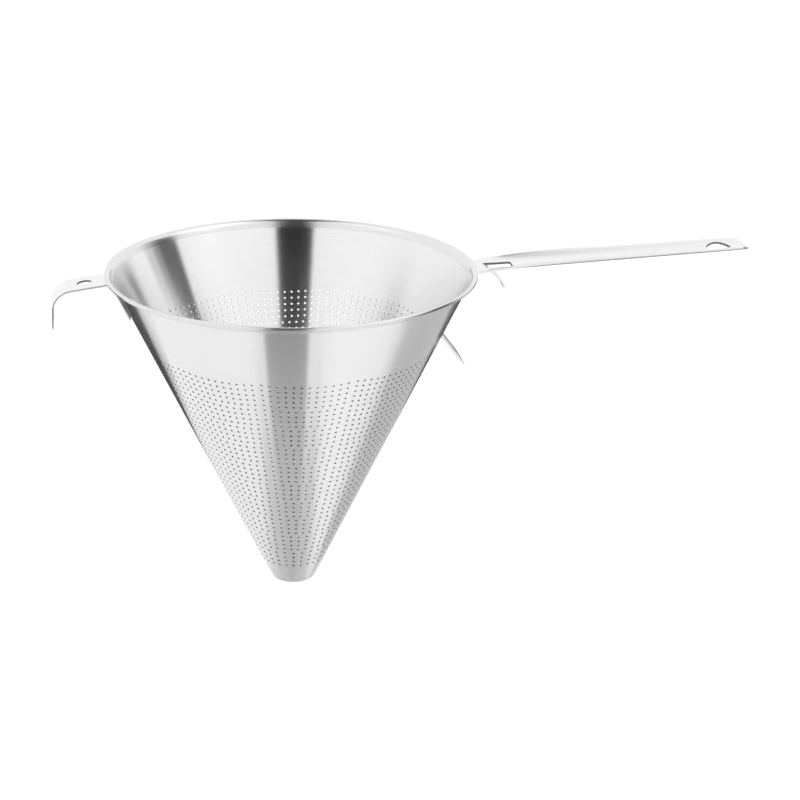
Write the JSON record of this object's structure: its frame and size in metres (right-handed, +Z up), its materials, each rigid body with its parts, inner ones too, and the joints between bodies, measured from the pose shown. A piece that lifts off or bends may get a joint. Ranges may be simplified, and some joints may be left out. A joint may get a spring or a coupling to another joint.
{
  "type": "chinois strainer",
  "caption": "Conical perforated strainer with a flanged rim, a closed tip, a long dished strip handle with pan rests and an opposite pan hook.",
  "frame": {"origin": "centre of the rim in the plane of its top face", "axes": "+Z up along the cone's axis, +X from the rim towards the end of the handle"},
  "size_m": [0.4621, 0.24, 0.229],
  "materials": {
    "cone_steel": "brushed round the cone",
    "strip_steel": "satin polished"
  },
  "bodies": {
    "root": {"strainer_cone": "cone_steel", "tip_cap": "cone_steel", "handle": "strip_steel", "helper_hook": "strip_steel"}
  },
  "joints": []
}
